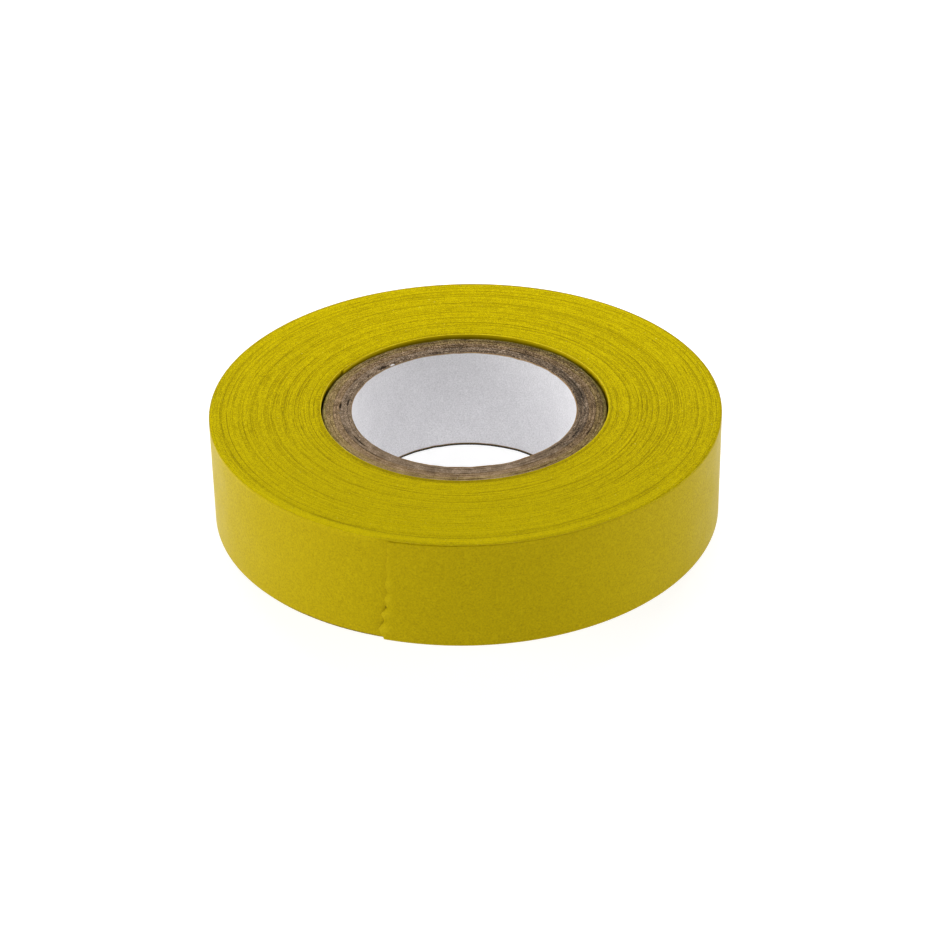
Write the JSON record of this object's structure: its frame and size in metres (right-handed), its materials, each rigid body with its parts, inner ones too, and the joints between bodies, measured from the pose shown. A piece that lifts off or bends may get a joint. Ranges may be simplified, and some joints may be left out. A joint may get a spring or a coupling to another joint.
{
  "type": "electrical tape roll",
  "caption": "Roll of vinyl insulation tape wound on a hollow paperboard core, lying flat, with a torn free end that peels away from the roll.",
  "frame": {"origin": "centre of the bore, on the face that the roll lies on", "axes": "+Z along the roll's axis, up from the face it lies on; the tape's free end is on the -Y side, 18 degrees towards -X"},
  "size_m": [0.0859, 0.0859, 0.019],
  "materials": {
    "vinyl": "satin yellow plasticised PVC film, with a fine grain",
    "chipboard": "matt grey-brown recycled board, fibrous where it is cut",
    "liner_paper": "matt white paper"
  },
  "bodies": {
    "roll": {"core_liner": "liner_paper", "core_ply_1": "chipboard", "core_ply_2": "chipboard", "core_ply_3": "chipboard", "core_ply_4": "chipboard", "core_ply_5": "chipboard", "core_ply_6": "chipboard", "core_ply_7": "chipboard", "core_ply_8": "chipboard", "tape_first_lap": "vinyl", "tape_winding": "vinyl", "tape_outer_lap": "vinyl"},
    "tail": {"tape_tail": "vinyl"}
  },
  "joints": [
    {"name": "tail_peel", "type": "hinge", "parent": "roll", "child": "tail", "pos_m": [0.02705, -0.0334, 0.0095], "axis": [0, 0, 1], "range_deg": [0, 150]}
  ]
}
